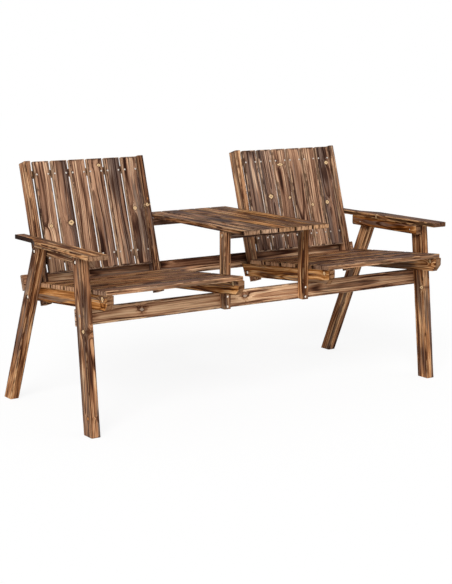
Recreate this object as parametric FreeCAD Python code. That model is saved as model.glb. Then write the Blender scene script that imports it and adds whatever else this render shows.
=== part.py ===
import FreeCAD, Part
import math
import os

# Companion seat bench: two slatted chairs joined by a small table, all in sawn boards.
# Millimetres. X runs along the bench, Y from the front to the back, Z up.
# While it is built, Y = 0 is the front end of the seat rails and Z = 0 is the ground.
# At the end every piece is moved so that the origin is the middle of the ground rectangle.

# Overall sizes
LEG_SPAN = 1600.0             # outer face of one end's legs to the other's
TOP_HEIGHT = 921.5            # front top edge of the back stiles
ARM_TOP = 647.0
TABLE_TOP = 688.0

# Legs, which lean towards each other and are cut level at both ends
LEG_THICKNESS = 35.5
FRONT_LEG_DEPTH = 57.5
FRONT_LEG_LEAN = 5.84         # degrees, top towards the back
FRONT_FOOT_Y = 61.6           # front edge of the front foot
REAR_LEG_DEPTH = 50.4
REAR_LEG_LEAN = 24.28         # degrees, top towards the front
REAR_FOOT_Y = 714.5           # front edge of the rear foot

# Seat rails and slats
SEAT_RAIL_THICKNESS = 26.5
SEAT_RAIL_DEPTH = 53.5
SEAT_SLOPE = 4.66             # degrees, down to the back
SEAT_FRONT_TOP = 510.0        # top of the rails at their front end
SEAT_RAIL_CHAMFER_UP = 25.0
SEAT_RAIL_CHAMFER_BACK = 22.0
SEAT_RAIL_TAIL_LEAN = 24.4    # degrees, slant of the rails' rear ends
SEAT_RAIL_TAIL_INSET = 1.0    # rear end's top corner in front of the stiles' rear faces
SEAT_SLAT_COUNT = 5
SEAT_SLAT_THICKNESS = 16.0
SEAT_SLAT_GAP = 10.3
SEAT_SLAT_SETBACK = 8.0       # first slat behind the rails' front ends
SEAT_TO_BACK_GAP = 12.0       # last slat to the front of the stiles

# Back: stiles, cross rails and slats
BACK_SETBACK = 531.6          # rails' front ends to the stiles' front faces, at the rails' top
BACK_LEAN = 16.7              # degrees, top towards the back
STILE_THICKNESS = 24.5
STILE_DEPTH = 50.0
STILE_BELOW_SEAT = 70.0       # stiles' lower ends below the seat rails' top, along the lean
BACK_SLAT_COUNT = 6
BACK_SLAT_THICKNESS = 16.0
BACK_SLAT_GAP = 10.1          # between slats, and from the outer slats to the stiles
BACK_SLAT_TOP = 3.7           # slats below the stiles' top, along the lean
BACK_SLAT_ABOVE_SEAT = 44.5   # slats' lower ends above the seat rails' top, along the lean
BACK_RAIL_HEIGHT = 26.0
BACK_RAIL_DEPTH = 28.0
BACK_RAIL_UPPER = 35.9        # upper cross rail below the stiles' top, along the lean
BACK_RAIL_ABOVE_SEAT = 108.9  # lower cross rail's top edge above the seat rails' top, along the lean
BACK_RAIL_TENON = 12.0        # stub tenon in the stile
BACK_RAIL_SHOULDER = 5.0      # step all round the tenon

# Long rails that join the two chairs
STRETCHER_THICKNESS = 16.0
FRONT_STRETCHER_WIDTH = 61.5
FRONT_STRETCHER_END = 3.0     # short of the legs' outer faces
FRONT_STRETCHER_CLEARANCE = 0.3   # below the seat rails
REAR_STRETCHER_WIDTH = 59.0
REAR_STRETCHER_END = 5.0
REAR_STRETCHER_ABOVE_SEAT = 54.6  # top edge above the seat rails' top, along the lean

# Arms
ARM_THICKNESS = 16.5
ARM_LENGTH = 651.0
ARM_FRONT_OVERHANG = 102.6    # ahead of the front leg
ARM_SIDE_OVERHANG = 18.0      # outside the legs
ARM_INNER_OVERHANG = 23.0     # inside the legs
ARM_REAR_WIDTH = 39.5
ARM_WIDE_LENGTH = 413.0       # from the front end to where the arm starts to narrow
ARM_TAPER_LENGTH = 92.0
ARM_CORNER_CUT = 13.5
ARM_RAIL_THICKNESS = 25.0
ARM_RAIL_HEIGHT = 39.0
ARM_RAIL_TAIL = 46.0          # behind the rear leg at the arm's underside
ARM_RAIL_CORNER = 8.0         # rounded lower rear corner

# Table
TABLE_WIDTH = 391.0
TABLE_LENGTH = 694.5
TABLE_BOARD_COUNT = 5
TABLE_BOARD_GAP = 6.0
TABLE_BOARD_THICKNESS = 16.0
TABLE_FRONT_OVERHANG = 122.0  # ahead of the posts
TABLE_RAIL_HEIGHT = 27.0
TABLE_RAIL_DEPTH = 27.0
POST_THICKNESS = 27.5
POST_DEPTH = 35.4

# Bolts with round heads sunk in counterbores
BOLT_RADIUS = 3.0
BOLT_HEAD_RADIUS = 6.0
BOLT_HEAD_HEIGHT = 4.0
BOLT_SOCKET_RADIUS = 2.0
BOLT_SOCKET_DEPTH = 2.5
COUNTERBORE_RADIUS = 9.0
COUNTERBORE_DEPTH = 5.5
ARM_BOLT_BACK = 40.0          # behind the leg's front edge, measured level
ARM_BOLT_RISE = 16.5          # above the arm rail's underside
SEAT_BOLT_FORWARD = 4.5       # in front of where rear leg and stile cross
SEAT_BOLT_DROP = 3.0          # below that crossing
STRETCHER_BOLT_END = 1.0      # past the cross nut
BARREL_RADIUS = 5.0
BARREL_LENGTH = 30.0
BARREL_DROP = 21.5            # cross nut below the front stretcher's top edge
BARREL_SLOT_WIDTH = 1.6
BARREL_SLOT_DEPTH = 1.5

# Countersunk wood screws, a short one for slats and a long one for the frame
SLAT_SCREW_LENGTH = 30.0
SLAT_SCREW_RADIUS = 2.0
SLAT_SCREW_HEAD_RADIUS = 3.7
FRAME_SCREW_LENGTH = 40.0
FRAME_SCREW_RADIUS = 2.5
FRAME_SCREW_HEAD_RADIUS = 4.2
SCREW_HEAD_DEPTH = 2.6
SCREW_SINK = 0.5              # head below the wood's surface
BACK_SCREW_INSET = 9.0        # from a back slat's edge
BACK_SCREW_IN_UPPER = 17.9    # screw rows below the cross rails' top edges, along the lean
BACK_SCREW_IN_LOWER = 8.3
SEAT_SCREW_INSET = 17.0       # from a seat slat's edge
ARM_SCREW_COUNT = 3
ARM_SCREW_INSET = 36.0        # from the arm rail's ends
TABLE_SCREW_INSET = 12.0      # from a table board's edge, or from the end of the rail
TABLE_SCREW_STAGGER = 6.0     # keeps upright screws clear of those in the rail's ends
POST_SCREW_TOP = 13.3         # post screws from the front stretcher's edges
POST_SCREW_BOTTOM = 10.3
RAIL_SCREW_SPACING = 14.0     # pair of screws from a seat rail into a front leg or a post
RAIL_SCREW_DROP = 12.7        # below the seat rail's top, where the slats hide them
STRETCHER_SCREW_INSET = 15.0  # from the rear stretcher's edges

HOLE_CLEARANCE = 0.15         # round every bolt and screw
OPEN_END = 0.2                # cutters start this far outside the wood

# Distances from the bench's middle, from the ends inwards
LEG_OUTER = LEG_SPAN / 2
LEG_INNER = LEG_OUTER - LEG_THICKNESS
OUTER_RAIL_INNER = LEG_INNER - SEAT_RAIL_THICKNESS
OUTER_STILE_INNER = OUTER_RAIL_INNER - STILE_THICKNESS
TABLE_HALF = TABLE_WIDTH / 2
POST_INNER = TABLE_HALF - POST_THICKNESS
INNER_RAIL_OUTER = TABLE_HALF + SEAT_RAIL_THICKNESS
INNER_STILE_OUTER = INNER_RAIL_OUTER + STILE_THICKNESS

ARM_UNDERSIDE = ARM_TOP - ARM_THICKNESS
ARM_RAIL_UNDERSIDE = ARM_UNDERSIDE - ARM_RAIL_HEIGHT
TABLE_UNDERSIDE = TABLE_TOP - TABLE_BOARD_THICKNESS
TABLE_RAIL_UNDERSIDE = TABLE_UNDERSIDE - TABLE_RAIL_HEIGHT

FRONT_RUN = math.tan(math.radians(FRONT_LEG_LEAN))
REAR_RUN = -math.tan(math.radians(REAR_LEG_LEAN))
BACK_RUN = math.tan(math.radians(BACK_LEAN))
SEAT_FALL = math.tan(math.radians(SEAT_SLOPE))
TAIL_RUN = math.tan(math.radians(SEAT_RAIL_TAIL_LEAN))


def turned(angle):
    """Cosine and sine of an angle in degrees."""
    return math.cos(math.radians(angle)), math.sin(math.radians(angle))


def meeting_point(floor_y_1, run_1, floor_y_2, run_2):
    """(y, z) where two leaning lines y = floor_y + run * z cross."""
    z = (floor_y_2 - floor_y_1) / (run_1 - run_2)
    return floor_y_1 + run_1 * z, z


# The lines that the side view is drawn from
def front_leg_front(z):
    return FRONT_FOOT_Y + FRONT_RUN * z


def front_leg_rear(z):
    return front_leg_front(z) + FRONT_LEG_DEPTH / turned(FRONT_LEG_LEAN)[0]


def rear_leg_front(z):
    return REAR_FOOT_Y + REAR_RUN * z


def rear_leg_rear(z):
    return rear_leg_front(z) + REAR_LEG_DEPTH / turned(REAR_LEG_LEAN)[0]


def seat_rail_top(y):
    return SEAT_FRONT_TOP - SEAT_FALL * y


def seat_rail_bottom(y):
    return seat_rail_top(y) - SEAT_RAIL_DEPTH / turned(SEAT_SLOPE)[0]


def on_seat(along, above):
    """(y, z) on the seat rails' top: along the slope from its front end, then square to it."""
    c, s = turned(SEAT_SLOPE)
    return along * c + above * s, SEAT_FRONT_TOP - along * s + above * c


BACK_FLOOR_Y = BACK_SETBACK - BACK_RUN * seat_rail_top(BACK_SETBACK)
STILE_REAR_FLOOR_Y = BACK_FLOOR_Y + STILE_DEPTH / turned(BACK_LEAN)[0]


def stile_front(z):
    return BACK_FLOOR_Y + BACK_RUN * z


def stile_rear(z):
    return STILE_REAR_FLOOR_Y + BACK_RUN * z


def on_back(down, behind):
    """(y, z) on the back: down the lean from the stiles' top, then behind their front faces."""
    c, s = turned(BACK_LEAN)
    return (stile_front(TOP_HEIGHT) - down * s + behind * c, TOP_HEIGHT - down * c - behind * s)


# Places on the back's lower part keep their distance from the seat
SEAT_DOWN = (TOP_HEIGHT - seat_rail_top(BACK_SETBACK)) / turned(BACK_LEAN)[0]
STILE_LENGTH = SEAT_DOWN + STILE_BELOW_SEAT
BACK_SLAT_BOTTOM = SEAT_DOWN - BACK_SLAT_ABOVE_SEAT
BACK_RAIL_LOWER = SEAT_DOWN - BACK_RAIL_ABOVE_SEAT
REAR_STRETCHER_DOWN = SEAT_DOWN - REAR_STRETCHER_ABOVE_SEAT
BACK_SCREW_UPPER = BACK_RAIL_UPPER + BACK_SCREW_IN_UPPER
BACK_SCREW_LOWER = BACK_RAIL_LOWER + BACK_SCREW_IN_LOWER

# The front stretcher lies on the front legs' rear faces, just below the seat rails
STRETCHER_TOP = meeting_point(front_leg_rear(0), FRONT_RUN,
                              seat_rail_bottom(0) / SEAT_FALL, -1 / SEAT_FALL)[1] - FRONT_STRETCHER_CLEARANCE


def on_stretcher(down, behind):
    """(y, z) on the front stretcher: down from its top edge, then behind its front face."""
    c, s = turned(FRONT_LEG_LEAN)
    return (front_leg_rear(STRETCHER_TOP) - down * s + behind * c, STRETCHER_TOP - down * c - behind * s)


POST_REAR = on_stretcher(0, 0)[0]
POST_FRONT = POST_REAR - POST_DEPTH
TABLE_FRONT = POST_FRONT - TABLE_FRONT_OVERHANG
REAR_TABLE_RAIL_BACK = stile_rear(TABLE_RAIL_UNDERSIDE)


# Solids
def prism(x_1, x_2, outline):
    """Board between two X values whose side view is a list of (y, z) corners."""
    low, high = min(x_1, x_2), max(x_1, x_2)
    corners = [FreeCAD.Vector(low, y, z) for y, z in outline]
    return Part.Face(Part.makePolygon(corners + corners[:1])).extrude(FreeCAD.Vector(high - low, 0, 0))


def rectangle(place, a_1, a_2, b_1, b_2):
    """Corners of a rectangle drawn with one of the on_... functions."""
    return [place(a_1, b_1), place(a_2, b_1), place(a_2, b_2), place(a_1, b_2)]


def box(x_1, x_2, y_1, y_2, z_1, z_2):
    return prism(x_1, x_2, [(y_1, z_1), (y_2, z_1), (y_2, z_2), (y_1, z_2)])


def rod(start, direction, radius, length):
    return Part.makeCylinder(radius, length, start, direction)


def along_x(x, spot, side):
    """Start point and direction of a fixing driven inwards (side * -X) at (y, z)."""
    return FreeCAD.Vector(x * side, spot[0], spot[1]), FreeCAD.Vector(-side, 0, 0)


def in_side_view(x, spot, place):
    """Start point and direction of a fixing driven the way that place's second value grows."""
    origin = place(0, 0)
    ahead = place(0, 1)
    direction = FreeCAD.Vector(0, ahead[0] - origin[0], ahead[1] - origin[1])
    return FreeCAD.Vector(x, spot[0], spot[1]), direction


def reversed_way(start, direction):
    return start, direction * -1


# Fixings. Each is a pair: the metal piece and the cutter for its hole.
def bolt(start, direction, stack):
    """Socket-head bolt sunk in a counterbore. stack is the wood from its face to the bolt's end."""
    head_face = start + direction * (COUNTERBORE_DEPTH - BOLT_HEAD_HEIGHT)
    metal = rod(head_face, direction, BOLT_HEAD_RADIUS, BOLT_HEAD_HEIGHT)
    shank = rod(start + direction * COUNTERBORE_DEPTH, direction, BOLT_RADIUS, stack - COUNTERBORE_DEPTH)
    metal = metal.fuse(shank).cut(rod(head_face, direction, BOLT_SOCKET_RADIUS, BOLT_SOCKET_DEPTH))
    outside = start - direction * OPEN_END
    cutter = rod(outside, direction, COUNTERBORE_RADIUS, COUNTERBORE_DEPTH + OPEN_END)
    cutter = cutter.fuse(rod(outside, direction, BOLT_RADIUS + HOLE_CLEARANCE, stack + 2 * OPEN_END))
    return metal, cutter


def screw(start, direction, length, radius, head_radius):
    """Countersunk wood screw with its head just below the surface."""
    head_face = start + direction * SCREW_SINK
    neck = head_face + direction * SCREW_HEAD_DEPTH
    metal = Part.makeCone(head_radius, radius, SCREW_HEAD_DEPTH, head_face, direction)
    metal = metal.fuse(rod(neck, direction, radius, length - SCREW_HEAD_DEPTH))
    wide, slim = head_radius + HOLE_CLEARANCE, radius + HOLE_CLEARANCE
    cutter = rod(start - direction * OPEN_END, direction, wide, SCREW_SINK + OPEN_END)
    cutter = cutter.fuse(Part.makeCone(wide, slim, SCREW_HEAD_DEPTH, head_face, direction))
    cutter = cutter.fuse(rod(neck, direction, slim, length - SCREW_HEAD_DEPTH + HOLE_CLEARANCE))
    return metal, cutter


def slat_screw(start, direction):
    return screw(start, direction, SLAT_SCREW_LENGTH, SLAT_SCREW_RADIUS, SLAT_SCREW_HEAD_RADIUS)


def frame_screw(start, direction):
    return screw(start, direction, FRAME_SCREW_LENGTH, FRAME_SCREW_RADIUS, FRAME_SCREW_HEAD_RADIUS)


def spaced(first, last, count):
    return [first + (last - first) * i / (count - 1) for i in range(count)]


# Boards of one end or one chair. side is -1 for the left and +1 for the right.
def front_leg(side):
    return prism(side * LEG_INNER, side * LEG_OUTER, [
        (front_leg_front(0), 0), (front_leg_rear(0), 0),
        (front_leg_rear(ARM_UNDERSIDE), ARM_UNDERSIDE), (front_leg_front(ARM_UNDERSIDE), ARM_UNDERSIDE)])


def rear_leg(side):
    return prism(side * LEG_INNER, side * LEG_OUTER, [
        (rear_leg_front(0), 0), (rear_leg_rear(0), 0),
        (rear_leg_rear(ARM_UNDERSIDE), ARM_UNDERSIDE), (rear_leg_front(ARM_UNDERSIDE), ARM_UNDERSIDE)])


def arm_rail(side):
    tail = rear_leg_rear(ARM_UNDERSIDE) + ARM_RAIL_TAIL
    rail = prism(side * (LEG_INNER - ARM_RAIL_THICKNESS), side * LEG_INNER, [
        (front_leg_front(ARM_RAIL_UNDERSIDE), ARM_RAIL_UNDERSIDE), (tail, ARM_RAIL_UNDERSIDE),
        (tail, ARM_UNDERSIDE), (front_leg_front(ARM_UNDERSIDE), ARM_UNDERSIDE)])
    corner = [edge for edge in rail.Edges
              if edge.BoundBox.YMin > tail - ARM_RAIL_CORNER and edge.BoundBox.ZMax < ARM_UNDERSIDE]
    return rail.makeFillet(ARM_RAIL_CORNER, corner)


def armrest(side):
    """Paddle: wide over the front, narrowed behind the rear leg, outer front corner clipped."""
    front = front_leg_front(ARM_UNDERSIDE) - ARM_FRONT_OVERHANG
    inner = LEG_INNER - ARM_INNER_OVERHANG
    outer = LEG_OUTER + ARM_SIDE_OVERHANG
    narrow = inner + ARM_REAR_WIDTH
    outline = [(inner, front), (outer - ARM_CORNER_CUT, front), (outer, front + ARM_CORNER_CUT),
               (outer, front + ARM_WIDE_LENGTH), (narrow, front + ARM_WIDE_LENGTH + ARM_TAPER_LENGTH),
               (narrow, front + ARM_LENGTH), (inner, front + ARM_LENGTH)]
    corners = [FreeCAD.Vector(side * x, y, ARM_UNDERSIDE) for x, y in outline]
    return Part.Face(Part.makePolygon(corners + corners[:1])).extrude(FreeCAD.Vector(0, 0, ARM_THICKNESS))


def seat_rail(x_1, x_2):
    top_tail = meeting_point(STILE_REAR_FLOOR_Y - SEAT_RAIL_TAIL_INSET, BACK_RUN,
                             SEAT_FRONT_TOP / SEAT_FALL, -1 / SEAT_FALL)
    tail_floor_y = top_tail[0] - TAIL_RUN * top_tail[1]
    bottom_tail = meeting_point(tail_floor_y, TAIL_RUN, seat_rail_bottom(0) / SEAT_FALL, -1 / SEAT_FALL)
    return prism(x_1, x_2, [
        (0, SEAT_FRONT_TOP), (0, seat_rail_bottom(0) + SEAT_RAIL_CHAMFER_UP),
        (SEAT_RAIL_CHAMFER_BACK, seat_rail_bottom(SEAT_RAIL_CHAMFER_BACK)), bottom_tail, top_tail])


def back_stile(x_1, x_2):
    return prism(x_1, x_2, rectangle(on_back, 0, STILE_LENGTH, 0, STILE_DEPTH))


def back_rail(side, down):
    """Cross rail between the stiles, with a stub tenon at each end."""
    front = BACK_SLAT_THICKNESS
    rear = BACK_SLAT_THICKNESS + BACK_RAIL_DEPTH
    rail = prism(side * INNER_STILE_OUTER, side * OUTER_STILE_INNER,
                 rectangle(on_back, down, down + BACK_RAIL_HEIGHT, front, rear))
    tenons = prism(side * (INNER_STILE_OUTER - BACK_RAIL_TENON), side * (OUTER_STILE_INNER + BACK_RAIL_TENON),
                   rectangle(on_back, down + BACK_RAIL_SHOULDER, down + BACK_RAIL_HEIGHT - BACK_RAIL_SHOULDER,
                             front + BACK_RAIL_SHOULDER, rear - BACK_RAIL_SHOULDER))
    return rail.fuse(tenons)


def back_slat_edges():
    """Low and high X of each back slat, from the table outwards."""
    room = OUTER_STILE_INNER - INNER_STILE_OUTER
    width = (room - (BACK_SLAT_COUNT + 1) * BACK_SLAT_GAP) / BACK_SLAT_COUNT
    starts = [INNER_STILE_OUTER + BACK_SLAT_GAP + i * (width + BACK_SLAT_GAP) for i in range(BACK_SLAT_COUNT)]
    return [(start, start + width) for start in starts]


def seat_slat_edges():
    """Front and rear edge of each seat slat, measured along the seat's slope."""
    last = meeting_point(BACK_FLOOR_Y - SEAT_TO_BACK_GAP, BACK_RUN,
                         SEAT_FRONT_TOP / SEAT_FALL, -1 / SEAT_FALL)[0] / turned(SEAT_SLOPE)[0]
    room = last - SEAT_SLAT_SETBACK
    width = (room - (SEAT_SLAT_COUNT - 1) * SEAT_SLAT_GAP) / SEAT_SLAT_COUNT
    starts = [SEAT_SLAT_SETBACK + i * (width + SEAT_SLAT_GAP) for i in range(SEAT_SLAT_COUNT)]
    return [(start, start + width) for start in starts]


def table_board_edges():
    width = (TABLE_WIDTH - (TABLE_BOARD_COUNT - 1) * TABLE_BOARD_GAP) / TABLE_BOARD_COUNT
    starts = [-TABLE_HALF + i * (width + TABLE_BOARD_GAP) for i in range(TABLE_BOARD_COUNT)]
    return [(start, start + width) for start in starts]


def table_post(side):
    """Upright whose lower rear is cut back to sit flat on the leaning stretcher."""
    foot = on_stretcher(FRONT_STRETCHER_WIDTH, 0)
    return prism(side * POST_INNER, side * TABLE_HALF, [
        (POST_FRONT, foot[1]), foot, on_stretcher(0, 0),
        (POST_REAR, TABLE_UNDERSIDE), (POST_FRONT, TABLE_UNDERSIDE)])


def chair_boards(side, name):
    boards = {
        name + "_front_leg": front_leg(side),
        name + "_rear_leg": rear_leg(side),
        name + "_arm_rail": arm_rail(side),
        name + "_armrest": armrest(side),
        name + "_seat_rail_outer": seat_rail(side * OUTER_RAIL_INNER, side * LEG_INNER),
        name + "_seat_rail_inner": seat_rail(side * TABLE_HALF, side * INNER_RAIL_OUTER),
        name + "_back_stile_outer": back_stile(side * OUTER_STILE_INNER, side * OUTER_RAIL_INNER),
        name + "_back_stile_inner": back_stile(side * INNER_RAIL_OUTER, side * INNER_STILE_OUTER),
        name + "_back_rail_upper": back_rail(side, BACK_RAIL_UPPER),
        name + "_back_rail_lower": back_rail(side, BACK_RAIL_LOWER),
    }
    for stile in ("_back_stile_outer", "_back_stile_inner"):
        for rail in ("_back_rail_upper", "_back_rail_lower"):
            boards[name + stile] = boards[name + stile].cut(boards[name + rail])
    for number, (low, high) in enumerate(back_slat_edges(), 1):
        outline = rectangle(on_back, BACK_SLAT_TOP, BACK_SLAT_BOTTOM, 0, BACK_SLAT_THICKNESS)
        boards[name + "_back_slat_%d" % number] = prism(side * low, side * high, outline)
    for number, (front, rear) in enumerate(seat_slat_edges(), 1):
        outline = rectangle(on_seat, front, rear, 0, SEAT_SLAT_THICKNESS)
        boards[name + "_seat_slat_%d" % number] = prism(side * TABLE_HALF, side * LEG_INNER, outline)
    return boards


def centre_boards():
    front_end = LEG_OUTER - FRONT_STRETCHER_END
    rear_end = LEG_OUTER - REAR_STRETCHER_END
    boards = {
        "front_stretcher": prism(-front_end, front_end, rectangle(
            on_stretcher, 0, FRONT_STRETCHER_WIDTH, 0, STRETCHER_THICKNESS)),
        "rear_stretcher": prism(-rear_end, rear_end, rectangle(
            on_back, REAR_STRETCHER_DOWN, REAR_STRETCHER_DOWN + REAR_STRETCHER_WIDTH,
            STILE_DEPTH, STILE_DEPTH + STRETCHER_THICKNESS)),
        "left_table_post": table_post(-1),
        "right_table_post": table_post(1),
        "table_rail_front": box(-POST_INNER, POST_INNER, POST_FRONT, POST_FRONT + TABLE_RAIL_DEPTH,
                                TABLE_RAIL_UNDERSIDE, TABLE_UNDERSIDE),
        "table_rail_rear": box(-INNER_RAIL_OUTER, INNER_RAIL_OUTER,
                               REAR_TABLE_RAIL_BACK - TABLE_RAIL_DEPTH, REAR_TABLE_RAIL_BACK,
                               TABLE_RAIL_UNDERSIDE, TABLE_UNDERSIDE),
    }
    for number, (low, high) in enumerate(table_board_edges(), 1):
        boards["table_board_%d" % number] = box(
            low, high, TABLE_FRONT, TABLE_FRONT + TABLE_LENGTH, TABLE_UNDERSIDE, TABLE_TOP)
    return boards


# Where the fixings go
def arm_bolts():
    height = ARM_RAIL_UNDERSIDE + ARM_BOLT_RISE
    stack = LEG_THICKNESS + ARM_RAIL_THICKNESS
    spots = [(leg_front(height) + ARM_BOLT_BACK, height) for leg_front in (front_leg_front, rear_leg_front)]
    return [bolt(*along_x(LEG_OUTER, spot, side), stack) for side in (-1, 1) for spot in spots]


def seat_bolt_spot():
    leg_middle = (rear_leg_front(0) + rear_leg_rear(0)) / 2
    stile_middle = (stile_front(0) + stile_rear(0)) / 2
    y, z = meeting_point(leg_middle, REAR_RUN, stile_middle, BACK_RUN)
    return y - SEAT_BOLT_FORWARD, z - SEAT_BOLT_DROP


def seat_bolts_outer():
    """Through rear leg, seat rail and stile."""
    stack = LEG_THICKNESS + SEAT_RAIL_THICKNESS + STILE_THICKNESS
    return [bolt(*along_x(LEG_OUTER, seat_bolt_spot(), side), stack) for side in (-1, 1)]


def seat_bolts_inner():
    """From the table side through seat rail and stile."""
    stack = SEAT_RAIL_THICKNESS + STILE_THICKNESS
    return [bolt(*along_x(-TABLE_HALF, seat_bolt_spot(), side), stack) for side in (-1, 1)]


def stretcher_fixings():
    """Bolts from behind through the front stretcher into cross nuts in the front legs."""
    bolts, nuts = [], []
    depth_to_nut = FRONT_LEG_DEPTH / 2
    stack = STRETCHER_THICKNESS + depth_to_nut + BARREL_RADIUS + STRETCHER_BOLT_END
    for side in (-1, 1):
        x = side * (LEG_OUTER - BARREL_LENGTH / 2)
        start, direction = reversed_way(*in_side_view(x, on_stretcher(BARREL_DROP, STRETCHER_THICKNESS),
                                                      on_stretcher))
        metal, cutter = bolt(start, direction, stack)
        bolts.append((metal, cutter))
        end, inwards = along_x(LEG_OUTER, on_stretcher(BARREL_DROP, -depth_to_nut), side)
        slot = Part.makeBox(BARREL_SLOT_DEPTH, 2 * BARREL_RADIUS, BARREL_SLOT_WIDTH,
                            FreeCAD.Vector(min(end.x, end.x + inwards.x * BARREL_SLOT_DEPTH),
                                           end.y - BARREL_RADIUS, end.z - BARREL_SLOT_WIDTH / 2))
        nut = rod(end, inwards, BARREL_RADIUS, BARREL_LENGTH).cut(cutter).cut(slot)
        hole = rod(end - inwards * OPEN_END, inwards, BARREL_RADIUS + HOLE_CLEARANCE,
                   BARREL_LENGTH + OPEN_END + HOLE_CLEARANCE)
        nuts.append((nut, hole))
    return bolts, nuts


def back_slat_screws(side):
    screws = []
    for low, high in back_slat_edges():
        for x in (low + BACK_SCREW_INSET, high - BACK_SCREW_INSET):
            for down in (BACK_SCREW_UPPER, BACK_SCREW_LOWER):
                screws.append(slat_screw(*in_side_view(side * x, on_back(down, 0), on_back)))
    return screws


def seat_slat_screws(side):
    screws = []
    for x in ((OUTER_RAIL_INNER + LEG_INNER) / 2, (TABLE_HALF + INNER_RAIL_OUTER) / 2):
        for front, rear in seat_slat_edges():
            for along in (front + SEAT_SCREW_INSET, rear - SEAT_SCREW_INSET):
                spot = on_seat(along, SEAT_SLAT_THICKNESS)
                screws.append(slat_screw(*reversed_way(*in_side_view(side * x, spot, on_seat))))
    return screws


def arm_screws(side):
    """Down through the arm into its rail."""
    first = front_leg_front(ARM_UNDERSIDE) + ARM_SCREW_INSET
    last = rear_leg_rear(ARM_UNDERSIDE) + ARM_RAIL_TAIL - ARM_SCREW_INSET
    x = side * (LEG_INNER - ARM_RAIL_THICKNESS / 2)
    return [slat_screw(FreeCAD.Vector(x, y, ARM_TOP), FreeCAD.Vector(0, 0, -1))
            for y in spaced(first, last, ARM_SCREW_COUNT)]


def slat_screws():
    screws = []
    for side in (-1, 1):
        screws += back_slat_screws(side) + seat_slat_screws(side) + arm_screws(side)
    return screws


def table_board_screws():
    """Two screws up through each table rail into each board."""
    screws = []
    rails = [(POST_INNER, POST_FRONT + TABLE_RAIL_DEPTH / 2 - TABLE_SCREW_STAGGER),
             (INNER_RAIL_OUTER, REAR_TABLE_RAIL_BACK - TABLE_RAIL_DEPTH / 2 - TABLE_SCREW_STAGGER)]
    for rail_end, y in rails:
        for low, high in table_board_edges():
            for x in (max(low, -rail_end) + TABLE_SCREW_INSET, min(high, rail_end) - TABLE_SCREW_INSET):
                start = FreeCAD.Vector(x, y, TABLE_RAIL_UNDERSIDE)
                screws.append(frame_screw(start, FreeCAD.Vector(0, 0, 1)))
    return screws


def table_rail_end_screws(side):
    """One through the post into the front table rail, one through the stile into the rear one."""
    height = TABLE_RAIL_UNDERSIDE + TABLE_RAIL_HEIGHT / 2
    front_spot = (POST_FRONT + TABLE_RAIL_DEPTH / 2 + TABLE_SCREW_STAGGER, height)
    rear_spot = (REAR_TABLE_RAIL_BACK - TABLE_RAIL_DEPTH / 2 + TABLE_SCREW_STAGGER, height)
    return [frame_screw(*along_x(TABLE_HALF, front_spot, side)),
            frame_screw(*along_x(INNER_STILE_OUTER, rear_spot, side))]


def post_screws(side):
    """From the front through a post into the front stretcher."""
    x = side * (POST_INNER + TABLE_HALF) / 2
    heights = [on_stretcher(down, 0)[1]
               for down in (POST_SCREW_TOP, FRONT_STRETCHER_WIDTH - POST_SCREW_BOTTOM)]
    return [frame_screw(FreeCAD.Vector(x, POST_FRONT, z), FreeCAD.Vector(0, 1, 0)) for z in heights]


def rear_stretcher_screws(side):
    """From behind through the rear stretcher into the stiles."""
    screws = []
    for x in ((OUTER_STILE_INNER + OUTER_RAIL_INNER) / 2, (INNER_RAIL_OUTER + INNER_STILE_OUTER) / 2):
        for down in (STRETCHER_SCREW_INSET, REAR_STRETCHER_WIDTH - STRETCHER_SCREW_INSET):
            spot = on_back(REAR_STRETCHER_DOWN + down, STILE_DEPTH + STRETCHER_THICKNESS)
            screws.append(frame_screw(*reversed_way(*in_side_view(side * x, spot, on_back))))
    return screws


def seat_rail_screws(side):
    """From the seat side through the outer rail into the front leg, and the inner one into the post."""
    middle = (POST_FRONT + POST_REAR) / 2
    screws = []
    for x, way in ((OUTER_RAIL_INNER, side), (INNER_RAIL_OUTER, -side)):
        for y in (middle - RAIL_SCREW_SPACING / 2, middle + RAIL_SCREW_SPACING / 2):
            start = FreeCAD.Vector(side * x, y, seat_rail_top(y) - RAIL_SCREW_DROP)
            screws.append(frame_screw(start, FreeCAD.Vector(way, 0, 0)))
    return screws


def frame_screws():
    screws = table_board_screws()
    for side in (-1, 1):
        for group in (table_rail_end_screws, post_screws, rear_stretcher_screws, seat_rail_screws):
            screws += group(side)
    return screws


def centred(nodes):
    """Moves all the pieces so that the origin is the middle of the ground rectangle."""
    bounds = Part.makeCompound(list(nodes.values())).BoundBox
    shift = FreeCAD.Vector(-(bounds.XMin + bounds.XMax) / 2, -(bounds.YMin + bounds.YMax) / 2, -bounds.ZMin)
    for shape in nodes.values():
        shape.translate(shift)
    return nodes


def drilled(board, cutters):
    near = [cutter for cutter in cutters if board.BoundBox.intersect(cutter.BoundBox)]
    return board.cut(near) if near else board


def bench():
    boards = {}
    boards.update(chair_boards(-1, "left"))
    boards.update(chair_boards(1, "right"))
    boards.update(centre_boards())
    stretcher_bolts, barrel_nuts = stretcher_fixings()
    fixings = {
        "arm_bolts": arm_bolts(),
        "seat_bolts_outer": seat_bolts_outer(),
        "seat_bolts_inner": seat_bolts_inner(),
        "stretcher_bolts": stretcher_bolts,
        "barrel_nuts": barrel_nuts,
        "frame_screws": frame_screws(),
        "slat_screws": slat_screws(),
    }
    cutters = [cutter for group in fixings.values() for metal, cutter in group]
    nodes = {name: drilled(board, cutters) for name, board in boards.items()}
    for name, group in fixings.items():
        nodes[name] = Part.makeCompound([metal for metal, cutter in group])
    return centred(nodes)


os.makedirs("parts", exist_ok=True)
for node, shape in bench().items():
    shape.exportStep("parts/%s.step" % node)
    print(node, len(shape.Solids), round(shape.Volume / 1000.0, 1), "cm3", shape.isValid())
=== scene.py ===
import math
from types import SimpleNamespace

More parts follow.
